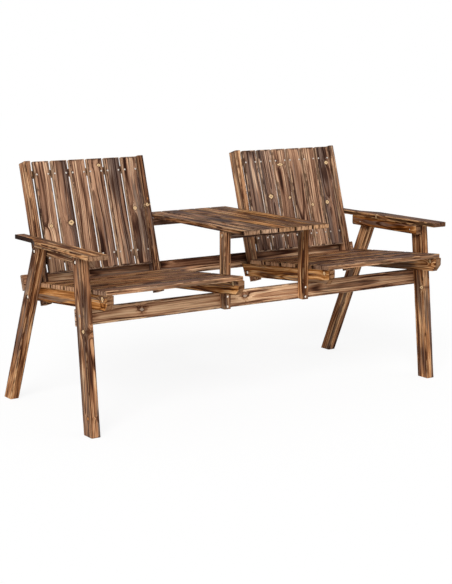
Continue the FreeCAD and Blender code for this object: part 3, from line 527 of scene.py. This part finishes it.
LOOKS = {
    "left_back_slat_6": dict(char=(-0.08, 0, -0.03), honey=(0.24, -0.04, 0.02), knots=[(-36, 3, 6.5)], bold=0.6,
                             streaks=0.75, gaps=0.8, pale=0.0),
    "left_back_slat_5": dict(char=(0.02, 0.14, -0.02), honey=(0.01, -0.16, 0), knots=[(-29, 13, 10, "cream", 1.3)],
                             bold=0.8, streaks=0.6),
    "left_back_slat_4": dict(char=(-0.1, -0.03, -0.03), honey=(0.15, 0.02, 0.04), bold=0.7, streaks=0.6),
    "left_back_slat_3": dict(char=(-0.01, 0.02, -0.08), honey=(0.03, 0, 0.06), knots=[(186, 16, 7, "cream", 1.3)],
                             bold=0.8, streaks=0.55),
    "left_back_slat_2": dict(char=(0.04, 0.05, 0.07), honey=(0.04, -0.18, -0.1)),
    "left_back_slat_1": dict(char=(-0.02, 0.10, -0.02), honey=(0.21, -0.15, 0), knots=[(8, -6, 8)], bold=1.3,
                             pale=0.5),
    "left_back_stile_inner": dict(
        char=(0, 0, 0.07), honey=(0.02, 0.04, -0.15),
        knots=[(73, -18, 7), (73, -3, 7.5, "cream", 1.0, True), (98, 2, 5, "orange", 0.6, True)]),
    "left_back_stile_outer": dict(char=(-0.02, -0.03, -0.03), honey=(0.07, -0.09, 0.03)),
    "right_back_slat_1": dict(char=(0.09, -0.05, 0), honey=(0.04, 0.05, 0), bold=0.7, streaks=0.5, worn=2.6,
                              pale=0.12, warm=0.85),
    "right_back_slat_2": dict(char=(0.09, -0.05, 0), honey=(0.03, 0.12, 0.03), knots=[(13, -2, 10, "cream", 1.25)],
                              bold=0.8, streaks=0.8, worn=2.8, pale=0.3, warm=0.8),
    "right_back_slat_3": dict(char=(0.02, 0.05, -0.06), honey=(0.03, -0.06, 0.08),
                              knots=[(3, 18, 6), (146, -4, 6, "cream", 2.6)], worn=2.4, pale=0.2),
    "right_back_slat_4": dict(char=(0.02, -0.05, -0.07), honey=(0.11, 0, 0.06), worn=2.4, pale=0.35),
    "right_back_slat_5": dict(char=(-0.06, 0, 0), honey=(0.20, 0, 0), knots=[(-35, -20, 6.5)], worn=2.2, pale=0.25),
    "right_back_slat_6": dict(char=(0.06, -0.07, -0.02), honey=(-0.02, 0.1, 0),
                              knots=[(-29, -16, 8.5), (143, 13, 8.5)], bold=1.3, pale=0.35),
    "right_back_stile_inner": dict(char=(-0.05, 0.02, 0), honey=(0.24, 0.05, 0), bold=1.0, streaks=0.8),
    "right_back_stile_outer": dict(char=(-0.03, 0, 0), honey=(0.12, -0.10, 0.03), warm=0.95),
    "left_seat_slat_1": dict(char=(-0.02, 0.08, 0), honey=(0.05, -0.04, 0), bold=1.4, burn=0.7, ends=0.5, gaps=0.0,
                             pale=0.2, warm=0.98),
    "right_seat_slat_1": dict(char=(0.0, 0.08, 0), honey=(-0.13, -0.05, 0), bold=1.4, burn=0.7, ends=0.4, gaps=0.0,
                              pale=0.2, warm=1.0),
    "left_seat_slat_2": dict(char=(0.04, 0.06, 0), honey=(-0.13, -0.05, 0)),
    "right_seat_slat_2": dict(char=(0.04, 0.06, 0), honey=(-0.18, -0.05, 0), ends=0.3),
    "left_seat_slat_3": dict(honey=(0.14, -0.05, 0)),
    "right_seat_slat_3": dict(honey=(0.05, -0.05, 0), ends=1.2),
    "left_seat_slat_4": dict(honey=(0.11, 0.02, 0)),
    "right_seat_slat_4": dict(honey=(-0.02, 0, 0)),
    "left_seat_slat_5": dict(char=(-0.03, 0.05, 0), honey=(0.16, -0.03, 0)),
    "right_seat_slat_5": dict(honey=(0.06, 0, 0), ends=1.6),
    "table_board_1": dict(honey=(0.15, 0, 0), ends=0.55, gaps=0.0, warm=1.04),
    "table_board_2": dict(char=(0.05, 0, 0), honey=(-0.06, 0, 0), gaps=0.6, warm=1.0),
    "table_board_3": dict(char=(-0.01, 0, 0), honey=(-0.06, 0, 0), knots=[(37, -7, 6, "dark")], streaks=0.8, ends=0.7,
                          gaps=0.6, warm=1.15),
    "table_board_4": dict(char=(-0.01, 0, 0), honey=(0.07, 0, 0), gaps=0.0, pale=0.55, warm=1.1),
    "table_board_5": dict(char=(-0.02, 0, 0), honey=(-0.03, 0, 0), warm=1.15),
    "left_front_leg": dict(char=(0.03, -0.03, 0), honey=(0.18, -0.06, 0.02),
                           knots=[(55, -19, 8), (-251, -11, 6, "orange")], bold=1.0, streaks=0.8, warm=1.0),
    "right_front_leg": dict(char=(-0.01, 0.02, 0), honey=(0.08, 0, 0), knots=[(56, -18, 8.5)], bold=2.0),
    "left_rear_leg": dict(char=(-0.02, 0.06, 0.02), honey=(0.11, -0.05, 0.04)),
    "right_rear_leg": dict(char=(-0.06, 0, 0), honey=(0.30, 0.04, 0), bold=1.5),
    "left_seat_rail_outer": dict(char=(-0.02, 0.02, 0), honey=(0.12, -0.04, 0), knots=[(-256, 14, 9)], bold=1.2,
                                 streaks=1.3),
    "left_seat_rail_inner": dict(char=(-0.06, 0.04, 0), honey=(0.15, -0.14, -0.06),
                                 knots=[(-254, 16, 8), (-280, 19, 5, "dark")]),
    "right_seat_rail_inner": dict(char=(-0.08, 0, 0), honey=(0.25, -0.04, 0), knots=[(-258, 15, 7)]),
    "right_seat_rail_outer": dict(char=(-0.10, 0.02, 0), honey=(0.42, -0.12, -0.05), knots=[(-255, 14, 7)], ends=0.25,
                                  warm=1.1),
    "front_stretcher": dict(char=(-0.08, 0, 0.04), honey=(0.29, 0, -0.11),
                            knots=[(-533, 2, 10, "grey", 0.55), (-81, 5, 9, "grey", 0.6)], streaks=1.1),
    "rear_stretcher": dict(char=(-0.02, 0.08, 0), honey=(0.14, -0.16, 0), ends=0.5),
    "left_table_post": dict(char=(0.0, -0.04, 0), honey=(0.19, -0.08, 0),
                            knots=[(25, 6, 4, "orange", 0.8, True), (127, 4, 5)], warm=1.0),
    "right_table_post": dict(char=(-0.02, -0.08, 0), honey=(0.34, 0.28, 0)),
    "right_arm_rail": dict(char=(-0.04, 0, 0), honey=(-0.14, 0, 0)),
    "left_arm_rail": dict(char=(-0.02, 0, 0), honey=(0.34, 0, 0), warm=1.0),
    "right_armrest": dict(char=(0.03, 0.06, 0), honey=(-0.26, -0.24, -0.04), knots=[(29, -34, 6)], burn=0.5,
                          ends=0.15, pale=0.1),
    "left_armrest": dict(char=(0.02, 0.04, 0), honey=(0.07, -0.12, 0), burn=1.2, ends=0.5),
}


def look_of(name):
    plain = next((look for kind, look in PLAIN_LOOKS.items() if kind in name), {})
    return SimpleNamespace(**{**DEFAULT_LOOK, **plain, **LOOKS.get(name, {})})


def welded(node):
    """Editable copy of a solid's mesh with its flat faces whole."""
    mesh = bmesh.new()
    mesh.from_mesh(solids[node].data)
    bmesh.ops.remove_doubles(mesh, verts=mesh.verts, dist=WELD_WITHIN)
    bmesh.ops.dissolve_limit(mesh, angle_limit=LEVEL_WITHIN, verts=mesh.verts, edges=mesh.edges)
    return mesh


def mark_smooth(mesh, limit):
    """Faces that meet at less than the limit shade as one surface."""
    for edge in mesh.edges:
        edge.smooth = edge.calc_face_angle(0) < limit if len(edge.link_faces) == 2 else False


def finished(mesh, name):
    """Mesh data of an edited mesh."""
    data = bpy.data.meshes.new(name)
    mesh.to_mesh(data)
    mesh.free()
    data.polygons.foreach_set("use_smooth", [True] * len(data.polygons))
    return data


def dressed(data, material, node):
    """The finished piece, which stands for a node of the solids."""
    data.materials.append(material)
    piece = bpy.data.objects.new(data.name, data)
    bpy.context.scene.collection.objects.link(piece)
    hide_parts(node)
    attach(piece, "root")
    return piece


def bends_inwards(edge):
    return len(edge.link_faces) == 2 and not edge.is_convex and HOLE_BEND[0] < edge.calc_face_angle(0) < HOLE_BEND[1]


def is_recessed(face, axes, low, high):
    """Whether a face lies sunk below the wide or narrow face that it is level with, as a counterbore's floor is."""
    for k in (1, 2):
        if abs(face.normal.dot(axes[k])) > 0.999:
            place = face.calc_center_median().dot(axes[k])
            return min(abs(place - low[k]), abs(place - high[k])) > HOLE_DEPTH
    return False


def outline_edges(mesh, axes, low, high):
    """Outer edges of a board, without the rims of its screw holes. The holes' walls get material 1 for a while."""
    in_hole = {face for face in mesh.faces if any(bends_inwards(edge) for edge in face.edges)}
    for face in mesh.faces:
        if face in in_hole or (face.calc_area() < HOLE_AREA and is_recessed(face, axes, low, high)):
            face.material_index = 1
    return [edge for edge in mesh.edges
            if len(edge.link_faces) == 2 and edge.is_convex and edge.calc_face_angle(0) > OUTER_BEND
            and not in_hole.intersection(edge.link_faces)]


def in_board(points, axes):
    return np.array(points) @ np.array([list(axis) for axis in axes]).T


def dressed_board(name, number):
    """The board with eased, slightly worn edges, and its own material."""
    axes = KINDS[kind_of(name)]
    mesh = welded(name)
    corners = in_board([v.co for v in mesh.verts], axes)
    low, high = corners.min(0), corners.max(0)
    middle, half = (low + high) / 2, (high - low) / 2
    bmesh.ops.bevel(mesh, geom=outline_edges(mesh, axes, low, high), offset=EDGE_ROUNDING, offset_type="OFFSET",
                    segments=3, profile=0.55, affect="EDGES", clamp_overlap=True)
    for i in range(1, int(2 * half[0] / WEAR_SPACING)):
        at = Vector(axes[0]) * (low[0] + i * WEAR_SPACING)
        geometry = mesh.verts[:] + mesh.edges[:] + mesh.faces[:]
        bmesh.ops.bisect_plane(mesh, geom=geometry, dist=1e-6, plane_co=at, plane_no=axes[0])
    # The rounded edges sink a little here and there
    for vert in mesh.verts:
        place = in_board([vert.co], axes)[0] - middle
        inset = np.minimum(half - np.abs(place), 1.0)
        if sorted(inset)[1] < EDGE_ZONE:
            wear = max(0.0, noise.noise(Vector(place * WEAR_REPEATS + (number, 0, 0)))) * EDGE_WEAR
            inwards = -(Vector(axes[1]) * np.sign(place[1]) * (inset[1] < EDGE_ZONE)
                        + Vector(axes[2]) * np.sign(place[2]) * (inset[2] < EDGE_ZONE))
            vert.co += inwards * wear
    mark_smooth(mesh, BOARD_SMOOTH)
    data = finished(mesh, name + "_wood")
    places = in_board([v.co for v in data.vertices], axes) - middle
    grain = data.attributes.new("grain", "FLOAT_VECTOR", "POINT")
    grain.data.foreach_set("vector", places.astype(np.float32).ravel())
    ends = data.attributes.new("end_grain", "FLOAT", "FACE")
    ends.data.foreach_set("value", [float(abs(face.normal.dot(axes[0])) > 0.6) for face in data.polygons])
    # Faces in holes, which the material darkens as painted shade
    bores = data.attributes.new("bore", "FLOAT", "FACE")
    bores.data.foreach_set("value", [float(face.material_index == 1) for face in data.polygons])
    data.polygons.foreach_set("material_index", [0] * len(data.polygons))
    piece = dressed(data, fir_material(name, look_of(name), half, number), name)
    even = piece.modifiers.new("even normals", "WEIGHTED_NORMAL")
    even.keep_sharp = True


def ring_of(shape, radius):
    """Points of one ring: round, six-sided or cross-shaped."""
    points = []
    for i in range(AROUND):
        angle = 2 * math.pi * i / AROUND
        reach = radius
        if shape == "hex":
            reach = radius * math.cos(math.pi / 6) / math.cos((angle + math.pi / 6) % (math.pi / 3) - math.pi / 6)
        if shape == "cross":
            off = abs((angle + math.pi / 4) % (math.pi / 2) - math.pi / 4)
            reach = min(radius / math.cos(off), 0.25 * radius / max(math.sin(off), 1e-6))
        points.append((reach * math.cos(angle), reach * math.sin(angle)))
    return points


def turned_piece(rings):
    """Vertices and faces of a turned piece. rings are (shape, radius, depth) in millimetres, from the middle of
    the recess out over the head and down to the tip."""
    vertices, faces = [(0.0, 0.0, rings[0][2])], []
    for shape, radius, depth in rings[1:]:
        vertices += [(x, y, depth) for x, y in ring_of(shape, radius)]
    count = len(rings) - 1
    for i in range(AROUND):
        j = (i + 1) % AROUND
        faces.append((0, 1 + j, 1 + i))
        for r in range(count - 1):
            a, b = 1 + r * AROUND, 1 + (r + 1) * AROUND
            faces.append((a + i, a + j, b + j, b + i))
    faces.append(tuple(1 + (count - 1) * AROUND + i for i in range(AROUND)))
    return np.array(vertices) / 1000, faces


def screw_shape(length, radius, head):
    return turned_piece([
        ("round", 0, 1.7), ("cross", 0.30 * head, 1.5), ("cross", 0.56 * head, 0.05), ("round", 0.86 * head, 0.0),
        ("round", 0.97 * head, 0.12), ("round", head - 0.02, 0.35), ("round", radius, 2.6),
        ("round", radius, length - 5), ("round", 0.3, length)])


def bolt_shape(length, radius, head, height):
    return turned_piece([
        ("round", 0, 2.7), ("hex", 2.15, 2.4), ("hex", 2.25, 0.15), ("round", 0.47 * head, 0.02),
        ("round", 0.80 * head, 0.0), ("round", 0.93 * head, 0.22), ("round", head - 0.01, 0.8),
        ("round", head - 0.01, height), ("round", radius, height), ("round", radius, length - 0.7),
        ("round", radius - 0.7, length)])


def separate_solids(node):
    """Vertex positions of each fixing in a node."""
    mesh = bmesh.new()
    mesh.from_mesh(solids[node].data)
    bmesh.ops.remove_doubles(mesh, verts=mesh.verts, dist=WELD_WITHIN)
    seen, found = set(), []
    for start in mesh.verts:
        if start in seen:
            continue
        seen.add(start)
        waiting, island = [start], []
        while waiting:
            vert = waiting.pop()
            island.append(vert.co.copy())
            for edge in vert.link_edges:
                other = edge.other_vert(vert)
                if other not in seen:
                    seen.add(other)
                    waiting.append(other)
        found.append(np.array(island))
    mesh.free()
    return found


def head_and_way(points):
    """Middle of a fixing's head face, the direction it is driven in and its length."""
    middle = points.mean(0)
    axis = np.linalg.svd(points - middle)[2][0]
    along = (points - middle) @ axis
    wide = np.linalg.norm(points - middle - np.outer(along, axis), axis=1)
    if along[wide > wide.max() - 1e-4].mean() > (along.max() + along.min()) / 2:
        axis, along = -axis, -along
    centre_line = (points.max(0) + points.min(0)) / 2
    centre_line = centre_line - axis * ((centre_line - middle) @ axis) + axis * along.min()
    return centre_line, axis, float(along.max() - along.min())


def dressed_fixings(node, make, material):
    """All the fixings of a node as detailed ones, in the same places."""
    vertices, faces = [], []
    random = np.random.default_rng(40)
    for points in separate_solids(node):
        head, way, length = head_and_way(points)
        shape, shape_faces = make(length * 1000)
        way = Vector(way)
        turn = way.to_track_quat("Z", "Y").to_matrix() @ Matrix.Rotation(random.uniform(0, 6.28), 3, "Z")
        moved = shape @ np.array(turn).T + head
        faces += [tuple(k + len(vertices) for k in face) for face in shape_faces]
        vertices += moved.tolist()
    mesh = bmesh.new()
    corners = [mesh.verts.new(vertex) for vertex in vertices]
    for face in faces:
        mesh.faces.new([corners[k] for k in face])
    bmesh.ops.recalc_face_normals(mesh, faces=mesh.faces)
    mark_smooth(mesh, FIXING_SMOOTH)
    dressed(finished(mesh, node + "_metal"), material, node)


def metal_material(name, bright, dull, rough):
    """Zinc-plated steel: cloudy plating, fine scratches and duller spots."""
    material, t, shader = new_material(name)
    x, y, z = t.parts(t.add("ShaderNodeTexCoord").outputs["Object"])
    cloud = t.noise(t.times(x, 420.0), t.times(y, 420.0), t.times(z, 420.0), 3.0, 0.6)
    scratch = t.noise(t.times(x, 2600.0), t.times(y, 700.0), t.times(z, 2600.0))
    t.put(shader.inputs["Base Color"], t.mix(t.ramp(cloud, 0.35, 0.75), bright, dull))
    t.put(shader.inputs["Roughness"], t.plus(rough, t.times(cloud, 0.16), t.times(scratch, 0.10)))
    shader.inputs["Metallic"].default_value = METALNESS
    t.put(shader.inputs["Normal"], t.bump(t.plus(scratch, cloud), *METAL_BUMP))
    return material


def dressed_barrel(node, material):
    """The cross nuts with small chamfers on their slotted ends."""
    mesh = welded(node)
    rims = [edge for edge in mesh.edges
            if len(edge.link_faces) == 2 and edge.is_convex and edge.calc_face_angle(0) > NUT_RIM_BEND]
    bmesh.ops.bevel(mesh, geom=rims, offset=NUT_CHAMFER, offset_type="OFFSET", segments=2, profile=0.6,
                    affect="EDGES", clamp_overlap=True)
    mark_smooth(mesh, NUT_SMOOTH)
    dressed(finished(mesh, node + "_metal"), material, node)


# Lamps: name, direction, strength and angle across
LAMPS = (("key", (0.75, 0.72, -0.70), 2.25, 28), ("fill", (-0.7, 0.8, -0.45), 0.55, 60))
AMBIENT = 0.45

FLOOR_REACH = 20.0
FLOOR_DROP = 0.0003      # below the feet
FLOOR_WHITE = 1.035      # strength of the white that the camera sees
FLOOR_SHARE = 0.84       # share of that white; the rest is the shaded floor, which keeps the shadow

CAMERA_PLACE = (-2.9868, -4.3762, 1.3449)
CAMERA_AIM = (-0.00793, 0.0125, 0.3895)
CAMERA_LENS = 84.15


def shows_background(t):
    """1 for rays that come straight, mirrored or refracted from the camera, otherwise 0."""
    path = t.add("ShaderNodeLightPath").outputs
    seen = t.plus(path["Is Camera Ray"], path["Is Glossy Ray"])
    return t.math("ADD", seen, path["Is Transmission Ray"], clamp=True)


def studio():
    """White floor and surroundings, soft light from the upper front left, and the camera."""
    scene = bpy.context.scene
    scene.view_settings.view_transform = "Standard"
    world = bpy.data.worlds.new("studio")
    scene.world = world
    world.use_nodes = True
    t = Tree(world.node_tree)
    around = world.node_tree.nodes["Background"]
    around.inputs["Color"].default_value = (1, 1, 1, 1)
    around.inputs["Strength"].default_value = AMBIENT
    seen = t.add("ShaderNodeBackground")
    seen.inputs["Color"].default_value = (1, 1, 1, 1)
    seen.inputs["Strength"].default_value = 1.0
    choose = t.add("ShaderNodeMixShader", shows_background(t), around.outputs[0], seen.outputs[0])
    t.put(world.node_tree.nodes["World Output"].inputs[0], choose.outputs[0])
    for name, way, strength, angle in LAMPS:
        light = bpy.data.lights.new(name, "SUN")
        light.energy = strength
        light.angle = math.radians(angle)
        lamp = bpy.data.objects.new(name, light)
        lamp.rotation_euler = Vector(way).to_track_quat("-Z", "Y").to_euler()
        scene.collection.objects.link(lamp)

    data = bpy.data.meshes.new("floor")
    corners = [(x * FLOOR_REACH, y * FLOOR_REACH, -FLOOR_DROP) for x, y in ((-1, -1), (1, -1), (1, 1), (-1, 1))]
    data.from_pydata(corners, [], [(0, 1, 2, 3)])
    floor = bpy.data.objects.new("floor", data)
    material, t, shader = new_material("floor")
    shader.inputs["Base Color"].default_value = (0.9, 0.9, 0.9, 1)
    shader.inputs["Roughness"].default_value = 0.9
    shader.inputs["Specular IOR Level"].default_value = 0.0
    white = t.add("ShaderNodeEmission")
    white.inputs["Strength"].default_value = FLOOR_WHITE
    share = t.times(shows_background(t), FLOOR_SHARE)
    choose = t.add("ShaderNodeMixShader", share, shader.outputs[0], white.outputs[0])
    t.put(material.node_tree.nodes["Material Output"].inputs[0], choose.outputs[0])
    data.materials.append(material)
    scene.collection.objects.link(floor)

    lens = bpy.data.cameras.new("camera")
    lens.lens = CAMERA_LENS
    lens.sensor_width = 36.0
    lens.clip_end = 100.0
    camera = bpy.data.objects.new("camera", lens)
    camera.location = CAMERA_PLACE
    aim = Vector(CAMERA_AIM) - camera.location
    camera.rotation_euler = aim.to_track_quat("-Z", "Y").to_euler()
    scene.collection.objects.link(camera)
    scene.camera = camera


def bench():
    metal_nodes = ("arm_bolts", "seat_bolts_outer", "seat_bolts_inner", "stretcher_bolts", "barrel_nuts",
                   "frame_screws", "slat_screws")
    boards = sorted(name for name in solids if name not in metal_nodes)
    for number, name in enumerate(boards):
        dressed_board(name, number)
    steel = metal_material("fixing_steel", ZINC, ZINC_DULL, rough=0.24)
    bolt_steel = metal_material("bolt_steel", BOLT, BOLT_DULL, rough=0.20)
    zinc = metal_material("barrel_zinc", ZINC_DULL, ZINC, rough=0.34)
    for node in ("arm_bolts", "seat_bolts_outer", "seat_bolts_inner", "stretcher_bolts"):
        dressed_fixings(node, lambda length: bolt_shape(length, *BOLT_SIZE), bolt_steel)
    dressed_fixings("slat_screws", lambda length: screw_shape(length, *SLAT_SCREW_SIZE), steel)
    dressed_fixings("frame_screws", lambda length: screw_shape(length, *FRAME_SCREW_SIZE), bolt_steel)
    dressed_barrel("barrel_nuts", zinc)


bench()
studio()
